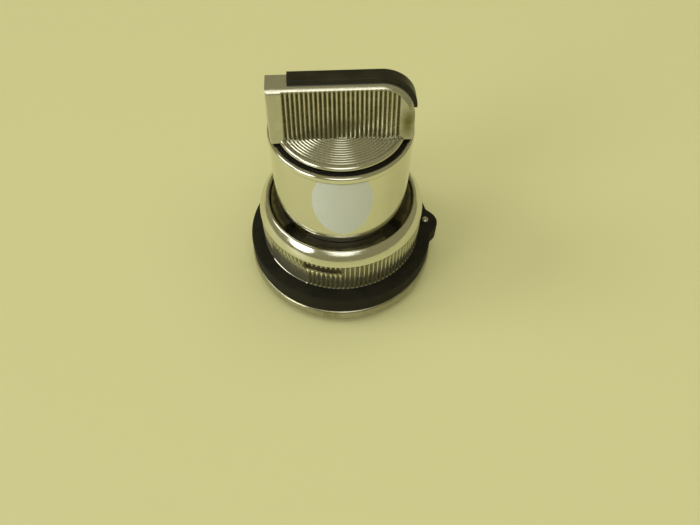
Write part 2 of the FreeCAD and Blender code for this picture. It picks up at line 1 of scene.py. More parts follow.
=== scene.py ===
# %% [markdown]
# # A selector switch operator, rebuilt around its engineering model
#
# The object is the front part of a panel switch: a plated lever knob in a polished
# sleeve, a threaded neck with a knurled ring nut, a rubber gasket and a round flange.
# The engineering model gives every part its size, place and joint. This lesson gives
# the parts that can be seen a smooth surface, and every part a believable finish.

# %% load the frame
import json
import math

import bmesh
import bpy
import numpy as np
from mathutils import Matrix, Vector


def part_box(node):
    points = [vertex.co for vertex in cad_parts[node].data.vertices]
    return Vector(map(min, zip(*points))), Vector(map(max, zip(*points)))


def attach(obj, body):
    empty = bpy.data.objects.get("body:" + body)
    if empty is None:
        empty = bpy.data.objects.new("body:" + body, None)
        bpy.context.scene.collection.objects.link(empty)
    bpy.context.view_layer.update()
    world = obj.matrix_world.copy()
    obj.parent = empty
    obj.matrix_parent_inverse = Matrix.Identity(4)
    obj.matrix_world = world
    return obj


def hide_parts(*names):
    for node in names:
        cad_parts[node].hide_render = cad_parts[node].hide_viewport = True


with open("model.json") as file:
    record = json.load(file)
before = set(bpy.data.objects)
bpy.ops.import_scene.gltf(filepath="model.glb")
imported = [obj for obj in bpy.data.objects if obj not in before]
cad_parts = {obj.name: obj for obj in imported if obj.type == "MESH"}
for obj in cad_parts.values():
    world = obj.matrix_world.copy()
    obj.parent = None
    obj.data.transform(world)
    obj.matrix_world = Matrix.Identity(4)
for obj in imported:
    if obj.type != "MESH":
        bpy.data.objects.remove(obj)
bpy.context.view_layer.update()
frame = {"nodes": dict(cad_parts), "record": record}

print("nodes:", len(frame["nodes"]))

# %% [markdown]
# ## Sizes
#
# The frame is in metres, but a part this small is easier to think about in
# millimetres. Every level and radius below is read from the box of a part, so the
# surfaces follow the engineering model. What a box can't give, such as the width of a
# rounded edge or the pitch of the thread, is a value of its own.

# %% read the levels and radii
MM = 0.001


def box_mm(node):
    """Lowest and highest corners of a part, in millimetres."""
    low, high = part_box(node)
    return np.array(low) / MM, np.array(high) / MM


body_low, body_high = box_mm("rear_body")
gasket_low, gasket_high = box_mm("gasket")
nut_low, nut_high = box_mm("ring_nut")
sleeve_low, sleeve_high = box_mm("bezel_sleeve")
bushing_low, bushing_high = box_mm("upper_bushing")
knob_low, knob_high = box_mm("selector_knob")
insert_low, insert_high = box_mm("knob_insert")
seal_low, seal_high = box_mm("dirt_seal")
plate_low, plate_high = box_mm("guide_plate")
pin_low, pin_high = box_mm("locating_pin")

z_flange, z_neck_top = body_low[2], body_high[2]
z_gasket, z_nut, z_nut_top = gasket_low[2], nut_low[2], nut_high[2]
z_rim, z_bar, z_insert = sleeve_high[2], knob_high[2], insert_high[2]
disc_above_seal, sleeve_above_nut = 1.6, 1.3
z_disc, z_sleeve = seal_high[2] + disc_above_seal, z_nut_top + sleeve_above_nut
flange_radius, gasket_radius, nut_radius = body_high[1], gasket_high[1], nut_high[1]
sleeve_radius, disc_radius = sleeve_high[0], knob_high[1]
sleeve_bore = seal_high[0] + 0.05
thread_radius, thread_pitch = 15.0, 1.5
print("flange %.1f, nut %.1f, sleeve %.2f, disc %.2f mm"
      % (flange_radius, nut_radius, sleeve_radius, disc_radius))
print("levels: gasket %.1f, nut %.1f to %.1f, rim %.1f, disc %.1f, bar %.1f mm"
      % (z_gasket, z_nut, z_nut_top, z_rim, z_disc, z_bar))

# %% [markdown]
# ## Surfaces from grids
#
# A turned part is a profile carried round an axis, and a cast bar is two sheets joined
# along their edges. Both are a grid of points with two indexes. The faces of a grid
# depend only on how many rows and columns it has, so one function makes them all.

# %% grid faces
def grid_faces(rows, columns, close_rows=False, close_columns=False):
    """Quads of a grid. A quad joins a point, its neighbour in the next column, and the
    two points above them. A closed direction joins the last line to the first."""
    i = np.arange(rows if close_rows else rows - 1)
    j = np.arange(columns if close_columns else columns - 1)
    i, j = np.meshgrid(i, j, indexing="ij")
    up, right = (i + 1) % rows, (j + 1) % columns
    quads = np.stack([i * columns + j, i * columns + right, up * columns + right,
                      up * columns + j], axis=-1)
    return quads.reshape(-1, 4)


print("a grid of 3 by 4 points has %d faces" % len(grid_faces(3, 4)))


# %% [markdown]
# A machined edge is never a perfect corner, and a mirror finish shows that more than
# any other. So each corner of a profile is swapped for an arc that is tangent to both
# of its sides. Next to the arc goes one more point, which keeps the flat part flat
# where smooth shading would bend its reflection.

# %% rounded profiles
def rounded_profile(corners, steps=7, hold=0.05):
    """A closed profile from corners (radius, height, rounding). A rounding r between
    sides that meet at angle a starts r / tan(a / 2) from the corner, and its centre is
    r / sin(a / 2) along the bisector."""
    places = np.array([corner[:2] for corner in corners], float)
    line = []
    for index, corner in enumerate(corners):
        here, rounding = places[index], corner[2]
        if rounding == 0:
            line.append(here[None])
            continue
        back = places[index - 1] - here
        ahead = places[(index + 1) % len(corners)] - here
        back, ahead = back / np.linalg.norm(back), ahead / np.linalg.norm(ahead)
        half = math.acos(np.clip(back @ ahead, -1, 1)) / 2
        reach = rounding / math.tan(half)
        middle = (back + ahead) / np.linalg.norm(back + ahead)
        centre = here + middle * rounding / math.sin(half)
        start, end = here + back * reach - centre, here + ahead * reach - centre
        turn = math.atan2(start[0] * end[1] - start[1] * end[0], start @ end)
        angle = math.atan2(start[1], start[0]) + np.linspace(0, turn, steps)
        arc = centre + rounding * np.stack([np.cos(angle), np.sin(angle)], axis=-1)
        line += [arc[:1] + back * hold, arc, arc[-1:] + ahead * hold]
    return np.concatenate(line)


corner = rounded_profile([(0, 0, 0), (1, 0, 0.2), (1, 1, 0)])
print("a rounded corner takes %d points" % (len(corner) - 2))

# %% [markdown]
# Two more helpers serve every turned piece. One carries a profile round the axis. The
# other is a soft step, for anything that has to begin or end without an edge.

# %% turning a profile
def turned(profile, angles):
    """A profile of (radius, height) carried round the Z axis: x is the radius times the
    cosine, y is the radius times the sine. Rows are profile points, columns angles."""
    radius, height = profile[:, :1], profile[:, 1:]
    x, y = radius * np.cos(angles), radius * np.sin(angles)
    return np.stack([x, y, height + 0 * angles], axis=-1)


def full_turn(count):
    """Angles round a full turn, without the last, which is the first again."""
    return np.arange(count) * 2 * math.pi / count


def smooth_step(low, high, value):
    """0 below low, 1 above high, and 3t^2 - 2t^3 between them."""
    t = np.clip((value - low) / (high - low), 0, 1)
    return t * t * (3 - 2 * t)


print("halfway, a smooth step from 0 to 1 gives %.1f" % smooth_step(0, 1, 0.5))


# %% [markdown]
# ## Finishes
#
# Every finish is a Principled shader with a few noises on Object coordinates. A
# plated casting isn't an even mirror: it has a faint waviness under the plating,
# wiping marks, fine pits, and grime where a cloth doesn't reach. The depth of a groove
# is known where its surface is worked out, so each such mesh carries it as an
# attribute, and the grime follows it exactly. The same attribute also carries painted
# shade, in the gap under the sleeve and in the spanner slot.

# %% material helpers
def new_material(name):
    """A material with an empty node tree but for its shader and output."""
    material = bpy.data.materials.new(name)
    material.use_nodes = True
    tree = material.node_tree
    tree.nodes.clear()
    output = tree.nodes.new("ShaderNodeOutputMaterial")
    shader = tree.nodes.new("ShaderNodeBsdfPrincipled")
    tree.links.new(shader.outputs["BSDF"], output.inputs["Surface"])
    return material, tree, shader


def object_coordinates(tree, stretch=(1, 1, 1)):
    """Object coordinates, stretched along each axis."""
    source = tree.nodes.new("ShaderNodeTexCoord")
    mapping = tree.nodes.new("ShaderNodeMapping")
    mapping.inputs["Scale"].default_value = stretch
    tree.links.new(source.outputs["Object"], mapping.inputs["Vector"])
    return mapping.outputs["Vector"]


def noise(tree, scale, detail=3.0, roughness=0.55, stretch=(1, 1, 1)):
    """A noise of about `scale` lumps per metre, from 0 to 1."""
    node = tree.nodes.new("ShaderNodeTexNoise")
    node.inputs["Scale"].default_value = scale
    node.inputs["Detail"].default_value = detail
    node.inputs["Roughness"].default_value = roughness
    tree.links.new(object_coordinates(tree, stretch), node.inputs["Vector"])
    return node.outputs["Fac"]


# %% [markdown]
# A noise alone is only a grey cloud. It becomes dirt or wear when it is moved to a
# useful range, when it chooses between two colours, or when it lifts the surface.

# %% helpers that shape a value
def remap(tree, value, low, high, to_low, to_high):
    """The value moved from one range to another, and held inside it."""
    node = tree.nodes.new("ShaderNodeMapRange")
    for name, number in (("From Min", low), ("From Max", high), ("To Min", to_low),
                         ("To Max", to_high)):
        node.inputs[name].default_value = number
    tree.links.new(value, node.inputs["Value"])
    return node.outputs["Result"]


def mix_colours(tree, factor, first, second):
    """A mix of two colours. Each is a tuple or the output of a node."""
    node = tree.nodes.new("ShaderNodeMix")
    node.data_type = "RGBA"
    tree.links.new(factor, node.inputs["Factor"])
    for value, name in ((first, "A"), (second, "B")):
        socket = [s for s in node.inputs if s.name == name and s.type == "RGBA"][0]
        if isinstance(value, tuple):
            socket.default_value = value + (1.0,)
        else:
            tree.links.new(value, socket)
    return [s for s in node.outputs if s.type == "RGBA"][0]


def maths(tree, operation, first, second):
    """One arithmetic step. Each value is a number or the output of a node."""
    node = tree.nodes.new("ShaderNodeMath")
    node.operation = operation
    for value, socket in zip((first, second), node.inputs):
        if isinstance(value, (int, float)):
            socket.default_value = value
        else:
            tree.links.new(value, socket)
    return node.outputs["Value"]


def bump(tree, shader, height, strength, distance):
    """Fine relief. The distance is in metres."""
    node = tree.nodes.new("ShaderNodeBump")
    node.inputs["Strength"].default_value = strength
    node.inputs["Distance"].default_value = distance
    tree.links.new(height, node.inputs["Height"])
    tree.links.new(node.outputs["Normal"], shader.inputs["Normal"])


def grime_and_shade_attribute(tree):
    """The mesh's grime and painted shade: 0 on the surface and 1 in a groove."""
    node = tree.nodes.new("ShaderNodeAttribute")
    node.attribute_name = "grime_and_shade"
    return node.outputs["Fac"]


# %% [markdown]
# The plating comes in two grades. The sleeve is polished like a mirror. The castings
# are plated over a surface that was only tumbled, so they have a slightly wider
# highlight, and their grooves hold a dark, greenish grime. The same dark colour is
# painted as shade in the gap under the sleeve and in the spanner slot.

# %% plated finishes
CHROME, STAINED, TARNISH = (0.74, 0.735, 0.66), (0.55, 0.54, 0.46), (0.46, 0.44, 0.33)
# The darkest colour is grime in the grooves, and painted shade in the gap under the sleeve and in
# the spanner slot.
FILM, GRIME_AND_SHADE = (0.20, 0.18, 0.065), (0.022, 0.018, 0.008)


def polished_chrome():
    """Mirror plating with wiping marks and a few soft stains."""
    material, tree, shader = new_material("polished_chrome")
    wipes = noise(tree, 260.0, 4.0, 0.6, (1, 1, 7))
    stains = noise(tree, 110.0, 5.0, 0.62)
    colour = mix_colours(tree, remap(tree, stains, 0.55, 0.80, 0.0, 0.35), CHROME, STAINED)
    shader.inputs["Metallic"].default_value = 1.0
    tree.links.new(colour, shader.inputs["Base Color"])
    tree.links.new(remap(tree, wipes, 0.35, 0.75, 0.035, 0.11), shader.inputs["Roughness"])
    bump(tree, shader, noise(tree, 700.0, 2.0), 0.035, 0.0002)
    return material


def plated_casting(name, smoothest, roughest, grime_and_shade_scale):
    """Plating on a tumbled casting. Where the mesh's grime and painted shade is high,
    the plating turns to a thin film, and then to a dark colour, which is hardly metallic:
    grime in the grooves, painted shade under the sleeve and in the spanner slot."""
    material, tree, shader = new_material(name)
    blotches = noise(tree, 420.0, 4.0, 0.6)
    pits = noise(tree, 2600.0, 2.0, 0.5)
    patchy = remap(tree, blotches, 0.25, 0.7, 0.65, 1.0)
    patchy_grime_and_shade = maths(tree, "MULTIPLY", grime_and_shade_attribute(tree), patchy)
    dirt_and_shade = maths(tree, "MULTIPLY", patchy_grime_and_shade, grime_and_shade_scale)
    stain = remap(tree, blotches, 0.58, 0.85, 0.0, 0.30)
    plating = mix_colours(tree, stain, CHROME, TARNISH)
    tree.links.new(remap(tree, dirt_and_shade, 0.0, 1.0, 1.0, 0.2), shader.inputs["Metallic"])
    filmed = mix_colours(tree, remap(tree, dirt_and_shade, 0.0, 0.45, 0.0, 1.0), plating, FILM)
    dirty_and_shaded = mix_colours(tree, remap(tree, dirt_and_shade, 0.45, 0.9, 0.0, 1.0), filmed, GRIME_AND_SHADE)
    tree.links.new(dirty_and_shaded, shader.inputs["Base Color"])
    wear = remap(tree, noise(tree, 900.0, 3.0), 0.3, 0.75, smoothest, roughest)
    tree.links.new(maths(tree, "ADD", wear, maths(tree, "MULTIPLY", patchy_grime_and_shade, 0.25)),
                   shader.inputs["Roughness"])
    bump(tree, shader, maths(tree, "ADD", pits, noise(tree, 500.0, 2.0)), 0.06, 0.00015)
    return material


finishes = {
    "polished_chrome": polished_chrome(),
    "chrome_casting": plated_casting("chrome_casting", 0.07, 0.20, 0.92),
}
print("plated finishes:", ", ".join(finishes))


# %% [markdown]
# The dark parts are rubber, a satin plastic and a moulded cover. None is truly black:
# a dusty bloom lies on each in patches, and the rubber shines the least. The sticker is
# plain matte paper with a thin coat, greyer where it has been handled.

# %% dark finishes and paper
def dusty_black(name, dark, dusty, low, high, grain, shine=0.5):
    """A dark surface with a lighter bloom in patches and a fine grain. Its roughness
    goes from low to high with the bloom."""
    material, tree, shader = new_material(name)
    shader.inputs["Specular IOR Level"].default_value = shine
    bloom = noise(tree, 320.0, 5.0, 0.62)
    colour = mix_colours(tree, remap(tree, bloom, 0.40, 0.78, 0.0, 1.0), dark, dusty)
    tree.links.new(colour, shader.inputs["Base Color"])
    tree.links.new(remap(tree, bloom, 0.3, 0.8, low, high), shader.inputs["Roughness"])
    bump(tree, shader, noise(tree, grain, 3.0), 0.10, 0.0001)
    return material


def label_paper():
    """Matte paper with a faint fibre grain and greyer, handled patches."""
    material, tree, shader = new_material("label_paper")
    fibre = noise(tree, 3000.0, 4.0, 0.7)
    handled = noise(tree, 230.0, 4.0, 0.6)
    tone = mix_colours(tree, remap(tree, fibre, 0.3, 0.7, 0.0, 1.0), (0.60, 0.64, 0.66),
                       (0.66, 0.70, 0.73))
    colour = mix_colours(tree, remap(tree, handled, 0.55, 0.85, 0.0, 0.5), tone,
                         (0.54, 0.57, 0.54))
    tree.links.new(colour, shader.inputs["Base Color"])
    shader.inputs["Roughness"].default_value = 0.55
    shader.inputs["Coat Weight"].default_value = 0.25
    shader.inputs["Coat Roughness"].default_value = 0.25
    bump(tree, shader, fibre, 0.12, 0.00004)
    return material


finishes.update({
    "black_rubber": dusty_black("black_rubber", (0.007, 0.0065, 0.004),
                                (0.018, 0.016, 0.009), 0.62, 0.85, 2600.0, 0.22),
    "black_moulding": dusty_black("black_moulding", (0.018, 0.018, 0.018),
                                  (0.035, 0.034, 0.032), 0.40, 0.55, 3000.0),
    "black_insert": dusty_black("black_insert", (0.008, 0.0065, 0.004),
                                (0.022, 0.019, 0.010), 0.34, 0.52, 2200.0, 0.4),
    "label_paper": label_paper(),
})
print("with the dark ones and paper there are", len(finishes))


# %% [markdown]
# The inner parts are turned steel, spring steel, bronze, acetal, red plastic and bare
# zinc. They show only when the model is taken apart, but each gets its own finish.
# Machining leaves marks in one direction, so the noise is stretched along it.

# %% finishes of the inner parts
def inner_metal(name, colour, darker, low, high, stretch):
    """Bare metal with machining marks that are stretched along one direction."""
    material, tree, shader = new_material(name)
    marks = noise(tree, 900.0, 4.0, 0.6, stretch)
    shader.inputs["Metallic"].default_value = 1.0
    tree.links.new(mix_colours(tree, marks, colour, darker), shader.inputs["Base Color"])
    tree.links.new(remap(tree, marks, 0.3, 0.7, low, high), shader.inputs["Roughness"])
    bump(tree, shader, marks, 0.08, 0.00005)
    return material


def inner_plastic(name, colour, darker, rough):
    """Moulded plastic with a slightly uneven tone."""
    material, tree, shader = new_material(name)
    tone = noise(tree, 500.0, 3.0)
    tree.links.new(mix_colours(tree, tone, colour, darker), shader.inputs["Base Color"])
    tree.links.new(remap(tree, tone, 0.3, 0.7, rough - 0.08, rough + 0.08),
                   shader.inputs["Roughness"])
    bump(tree, shader, noise(tree, 4000.0, 2.0), 0.06, 0.00005)
    return material


round_marks, long_marks = (1, 1, 9), (9, 1, 1)
finishes.update({
    "bright_steel": inner_metal("bright_steel", (0.62, 0.62, 0.60), (0.50, 0.50, 0.49),
                                0.18, 0.34, round_marks),
    "spring_steel": inner_metal("spring_steel", (0.42, 0.42, 0.43), (0.30, 0.29, 0.28),
                                0.25, 0.42, long_marks),
    "bronze": inner_metal("bronze", (0.62, 0.43, 0.20), (0.46, 0.30, 0.14), 0.30, 0.48,
                          round_marks),
    "zinc_casting": inner_metal("zinc_casting", (0.50, 0.51, 0.52), (0.40, 0.41, 0.42),
                                0.40, 0.58, (1, 1, 1)),
    "white_acetal": inner_plastic("white_acetal", (0.78, 0.76, 0.70), (0.70, 0.68, 0.61),
                                  0.42),
    "red_moulding": inner_plastic("red_moulding", (0.42, 0.05, 0.04), (0.34, 0.04, 0.03),
                                  0.38),
})
slot_of = {part["node"]: part["material_slot"] for part in frame["record"]["subparts"]}
print("finishes:", len(finishes))

# %% [markdown]
# ## Dressing the parts
#
# Most parts keep their engineering shape, and each gets its finish through the slots
# of its object. The record says which finish belongs to which part.

# %% dress the engineering parts
for node, part in frame["nodes"].items():
    for place in range(max(1, len(part.material_slots))):
        if not part.material_slots:
            part.data.materials.append(None)
        part.material_slots[place].material = finishes[slot_of[node]]
print("dressed", len(frame["nodes"]), "engineering parts")


# %% [markdown]
# A new piece is a mesh that rides on a body and stands for engineering parts. The
# values of grime and painted shade go into the mesh before points that fall together are
# merged, because Blender then keeps them with the points that stay.

# %% the piece maker
def add_piece(name, grid, faces, body, slot, stands_for, grime_and_shade=None, sharp=32.0):
    """A piece from points in millimetres. Edges sharper than the angle stay crisp, and
    the rest is shaded smooth."""
    points = np.asarray(grid).reshape(-1, 3)
    mesh = bpy.data.meshes.new(name)
    mesh.from_pydata((points * MM).tolist(), [], faces.tolist())
    # Each point's grime and painted shade, 0 where the surface is clean.
    layer = mesh.attributes.new("grime_and_shade", "FLOAT", "POINT")
    grime_and_shade_values = np.zeros(len(points)) if grime_and_shade is None else np.asarray(grime_and_shade).reshape(-1)
    layer.data.foreach_set("value", grime_and_shade_values.astype(np.float32))
    work = bmesh.new()
    work.from_mesh(mesh)
    bmesh.ops.remove_doubles(work, verts=work.verts, dist=1e-6)
    bmesh.ops.dissolve_degenerate(work, edges=work.edges, dist=1e-7)
    bmesh.ops.recalc_face_normals(work, faces=work.faces)
    open_edges = sum(1 for edge in work.edges if len(edge.link_faces) != 2)
    volume = work.calc_volume(signed=True) / MM ** 3
    work.to_mesh(mesh)
    work.free()
    mesh.shade_smooth()
    mesh.set_sharp_from_angle(angle=math.radians(sharp))
    mesh.materials.append(finishes[slot])
    piece = bpy.data.objects.new(name, mesh)
    bpy.context.scene.collection.objects.link(piece)
    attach(piece, body)
    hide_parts(stands_for)
    print("%s: %d faces, %d open edges, %.0f mm3"
          % (name, len(mesh.polygons), open_edges, volume))
    return piece


# %% [markdown]
# ## Sleeve
#
# On the real switch the sleeve is a tube polished like a mirror. Its rim is a small
# round bead, and under the bead a fine step makes the dark line that runs round the
# top. A profile turned round the axis is the natural way to make it, and 256 steps
# keep the silhouette round. Inside, the profile steps in to hold the bushing.

# %% bezel sleeve
shank_radius = plate_high[1]
shank_bore = shank_radius - 1.5
floor_bore, bushing_flange = 6.07, 0.7
bead, wall = sleeve_radius + 0.08, sleeve_radius - 0.05
z_bead, z_step = z_rim - 1.12, z_rim - 1.36
sleeve_profile = rounded_profile([
    (shank_bore, sleeve_low[2], 0.1),
    (shank_radius, sleeve_low[2], 0.2),
    (shank_radius, z_sleeve, 0),
    (wall, z_sleeve, 0.45),
    (wall, z_step, 0),
    (wall - 0.10, z_step + 0.06, 0),
    (bead, z_bead, 0),
    (bead, z_rim, 0.58),
    (sleeve_bore, z_rim, 0.12),
    (sleeve_bore, bushing_high[2] - bushing_flange, 0),
    (floor_bore, bushing_high[2] - bushing_flange, 0),
    (floor_bore, bushing_low[2] + bushing_flange, 0),
    (shank_bore, bushing_low[2] + bushing_flange, 0.2)])
sleeve_grid = turned(sleeve_profile, full_turn(256))
rows, columns = sleeve_grid.shape[:2]
add_piece("bezel_sleeve_surface", sleeve_grid, grid_faces(rows, columns, True, True),
          "housing", "polished_chrome", "bezel_sleeve")

# %% [markdown]
# ## Ring nut: the profile
#
# On the real nut a knurled wall stands under a smooth shoulder, which bows in to a
# round lip. The profile is a chain of runs: the foot, the wall, the shoulder, the lip
# and the bore. A parabola through three points is enough for each bowed run. The wall
# has many rows, because the knurl on it changes with the height.

# %% profile of the nut
knurl_height = 7.8
wall_inset, shoulder_inset = 0.62, 0.55
washer_depth, washer_wall = 0.85, 0.9
z_knurl = z_nut + knurl_height
nut_bore = thread_radius + 0.06
knurl_radius = nut_radius - wall_inset
shoulder_radius = nut_radius - shoulder_inset
washer_recess = knurl_radius - washer_wall


def evenly(low, high, count):
    """Inner points of a straight run, without its two ends."""
    return np.linspace(low, high, count + 2)[1:-1]


def bowed(start, middle, end, steps):
    """A bowed line from start to end that passes the middle halfway: a parabola,
    start (1-t)^2 + control 2t(1-t) + end t^2, with control = 2 middle - (start+end)/2."""
    start, middle, end = np.array(start), np.array(middle), np.array(end)
    t = np.linspace(0, 1, steps)[:, None]
    control = 2 * middle - (start + end) / 2
    return start * (1 - t) ** 2 + control * 2 * t * (1 - t) + end * t ** 2


shoulder = bowed((shoulder_radius, z_knurl + 0.4), (shoulder_radius - 0.45, z_knurl + 1.9),
                 (nut_bore + 0.86, z_nut_top - 0.26), 18)
lip = bowed(shoulder[-1], (nut_bore + 0.40, z_nut_top), (nut_bore, z_nut_top - 0.42), 10)[1:]
foot = rounded_profile([(washer_recess, z_nut + washer_depth, 0), (washer_recess, z_nut, 0.1),
                        (knurl_radius, z_nut, 0.25), (knurl_radius, z_nut + 2.0, 0)])[:-1]
below_shoulder = np.array([1.1, 0.9, 0.75, 0.6, 0.45, 0.3, 0.15, 0.0])
knurl_rows = np.concatenate([z_nut + np.array([0.45, 0.6, 0.8]),
                             evenly(z_nut + 0.9, z_knurl - 1.2, 24), z_knurl - below_shoulder])
wall_rows = np.stack([np.full(len(knurl_rows), knurl_radius), knurl_rows], -1)
nut_profile = np.concatenate([foot, wall_rows, shoulder, lip, [[nut_bore, z_nut + washer_depth]]])
print("nut profile: %d points" % len(nut_profile))

# %% [markdown]
# ## Ring nut: the knurl
#
# The knurl isn't modelled tooth by tooth. The radius drops by a wave of the azimuth
# that repeats once for each tooth, and the wave fades out at the foot. Two windows of
# azimuth and height change it: in one the teeth are worn away, and the other sinks a
# spanner slot. The same windows say how dark each place is: grime lies in the teeth
# and on the worn patch, and the slot is painted nearly black as painted shade.

# %% ring nut
teeth, tooth_depth = 110, 0.34
worn_depth, slot_depth = 0.12, 0.70
nut_angles = full_turn(teeth * 8)
nut_grid = turned(nut_profile, nut_angles)
height = nut_grid[..., 2]
azimuth = np.degrees(np.arctan2(nut_grid[..., 1], nut_grid[..., 0]))


def arc_window(angle, middle, half, soft):
    """1 inside an arc of azimuths, falling to 0 over the soft border."""
    away = np.abs((angle - middle + 180) % 360 - 180)
    return 1 - smooth_step(half - soft, half + soft, away)


wave = np.abs(((nut_angles * teeth / (2 * math.pi)) % 1) * 2 - 1)
valley = smooth_step(0.12, 0.95, wave)[None, :] + 0 * height
above_foot = smooth_step(z_nut + 0.25, z_nut + 0.6, height)
# 1 up to 0.8 mm above the foot of the nut and 0 from 3 mm: the wall is made darker towards the
# bottom.
darker_near_foot = 1 - smooth_step(z_nut + 0.8, z_nut + 3.0, height)
on_wall = np.hypot(nut_grid[..., 0], nut_grid[..., 1]) > knurl_radius - 0.02
on_wall = on_wall & (height < z_knurl + 0.01)

worn_band = 1 - smooth_step(z_knurl - 2.2, z_knurl - 1.4, height)
worn_patch = arc_window(azimuth, -134.0, 17.0, 2.0) * worn_band
slot_band = smooth_step(z_knurl - 2.85, z_knurl - 2.6, height)
slot_band = slot_band * (1 - smooth_step(z_knurl - 0.75, z_knurl - 0.5, height))
spanner_slot = arc_window(azimuth, -105.5, 13.0, 1.0) * slot_band
toothed = (1 - worn_patch) * (1 - spanner_slot)

cut = on_wall * (tooth_depth * valley * above_foot * toothed + worn_depth * worn_patch
                 + slot_depth * spanner_slot)
nut_grid[..., :2] *= (1 - cut / knurl_radius)[..., None]
# Grime lies in the teeth and on the worn patch. In the spanner slot the value 1.1 is painted shade,
# which makes the pocket nearly black.
wall_grime_and_shade = on_wall * ((0.15 + 0.42 * valley * above_foot + 0.18 * darker_near_foot) * toothed
                        + 0.36 * worn_patch * (1 - spanner_slot) + 1.1 * spanner_slot)
in_bore = np.hypot(nut_grid[..., 0], nut_grid[..., 1]) < nut_bore + 0.05
bore_grime = 0.9 * (in_bore & (height < z_nut_top - 0.2))
rows, columns = nut_grid.shape[:2]
add_piece("ring_nut_surface", nut_grid, grid_faces(rows, columns, True, True), "ring_nut",
          "chrome_casting", "ring_nut", wall_grime_and_shade + bore_grime, 50.0)

# %% [markdown]
# ## Flange and neck: the profile
#
# One casting carries both: a round flange that rests behind the panel, and a neck that
# goes through it. The neck's bore steps in to a ledge for the guide plate. The neck's
# wall has 96 rows, enough to draw every turn of the thread.

# %% profile of the rear body
neck_bore = shank_radius + 0.02
chamber_bore = neck_bore - 0.9
z_ledge = plate_low[2]
neck_rows = evenly(z_gasket + 0.3, z_neck_top - 0.4, 96)
flange_part = rounded_profile([(chamber_bore, z_flange, 0.1), (flange_radius, z_flange, 0.45),
                               (flange_radius, z_gasket, 0.9), (thread_radius, z_gasket, 0)])
neck_part = np.stack([np.full(len(neck_rows), thread_radius), neck_rows], -1)
mouth_part = rounded_profile([(thread_radius, z_neck_top - 3, 0), (thread_radius, z_neck_top, 0.25),
                              (neck_bore, z_neck_top, 0.2), (neck_bore, z_ledge, 0),
                              (chamber_bore, z_ledge, 0)])[1:]
body_profile = np.concatenate([flange_part, neck_part, mouth_part])
print("rear body profile: %d points" % len(body_profile))

# %% [markdown]
# ## Flange and neck: thread and notches
#
# The neck's radius follows a triangle wave of the height minus the lead: as the angle
# grows by a full turn, the wave moves up by one pitch, which is what makes it a screw.
# Four notches in the top take a spanner. Inside a notch no point may stand higher than
# its floor, so the height is held down there before the thread is worked out.

# %% rear body
notch_half_width, notch_depth = 2.6, 2.2
thread_slope, thread_crest, thread_root = 0.75, 0.05, 0.7
body_angles = full_turn(520)
body_grid = turned(body_profile, body_angles)
azimuth = np.degrees(body_angles)[None, :]
from_notch = np.abs(azimuth % 90 - 45)
in_notch = from_notch < math.degrees(notch_half_width / thread_radius)
level = np.where(in_notch, z_neck_top - notch_depth, z_neck_top)
height = np.minimum(body_grid[..., 2], level)
phase = (height / thread_pitch - body_angles[None, :] / (2 * math.pi)) % 1
drop = np.clip(thread_slope * np.abs(2 * phase - 1), thread_crest, thread_root)
radius = body_profile[:, :1] + 0 * height
radius = np.where(height > z_gasket + 0.2, np.minimum(radius, thread_radius - drop), radius)
body_grid = np.stack([radius * np.cos(body_angles), radius * np.sin(body_angles), height], -1)

# The neck carries grime, and a painted shade deepens it towards the sleeve: the top of the neck is
# darkest under the sleeve's overhang, where the gap is painted nearly black.
on_neck = (radius < flange_radius - 1.0) * smooth_step(z_gasket - 0.2, z_gasket + 0.2, height)
neck_grime_and_shade = on_neck * (1.5 - 0.78 * smooth_step(sleeve_radius, thread_radius, radius))
# The outer 1.2 mm of the flange, up to the gasket's level, is made darker and browner.
flange_rim_darkening = 0.40 * ((radius > flange_radius - 1.2) & (height < z_gasket + 0.01))
rows, columns = body_grid.shape[:2]
add_piece("rear_body_surface", body_grid, grid_faces(rows, columns, True, True), "housing",
          "chrome_casting", "rear_body", np.maximum(neck_grime_and_shade, flange_rim_darkening))

# %% [markdown]
# ## Gasket
#
# The gasket is a thick moulded rubber ring with one lug. Its outline is a circle that
# swells to a smaller circle at the lug. The two are joined by a soft maximum, the
# logarithm of a sum of powers of e, so that the rubber flows into the lug as it does
# in a mould. The shift keeps the powers small.

# %% gasket
lug_angle = math.atan2((pin_low[1] + pin_high[1]) / 2, (pin_low[0] + pin_high[0]) / 2)
lug_size = 3.3
lug_centre = gasket_high[0] - lug_size
softness, shift = 0.35, 20
gasket_angles = full_turn(360)
turn = (gasket_angles - lug_angle + math.pi) % (2 * math.pi) - math.pi
inside = np.clip(lug_size ** 2 - (lug_centre * np.sin(turn)) ** 2, 0, None)
lug_edge = lug_centre * np.cos(turn) + np.sqrt(inside)
lug_edge = np.where((inside > 0) & (np.abs(turn) < 0.5), lug_edge, 0)
gasket_edge = softness * np.log(np.exp((gasket_radius - shift) / softness)
                                + np.exp((lug_edge - shift) / softness)) + shift

gasket_bore = thread_radius + 0.05
gasket_profile = rounded_profile([(gasket_bore, z_gasket, 0.15), (gasket_radius, z_gasket, 0.3),
                                  (gasket_radius, z_nut, 0.45), (gasket_bore, z_nut, 0.15)])
gasket_grid = turned(gasket_profile, gasket_angles)
share = smooth_step(nut_radius, gasket_radius - 0.6, gasket_profile[:, 0])[:, None]
swell = 1 + share * (gasket_edge - gasket_radius)[None, :] / gasket_profile[:, :1]
gasket_grid[..., :2] *= swell[..., None]
rows, columns = gasket_grid.shape[:2]
add_piece("gasket_surface", gasket_grid, grid_faces(rows, columns, True, True), "housing",
          "black_rubber", "gasket")

# %% [markdown]
# ## Locating pin
#
# The pin in the lug keeps the switch from turning in its panel. It is a short steel
# rod with a domed end, so it is turned like the rest and then moved to its place.

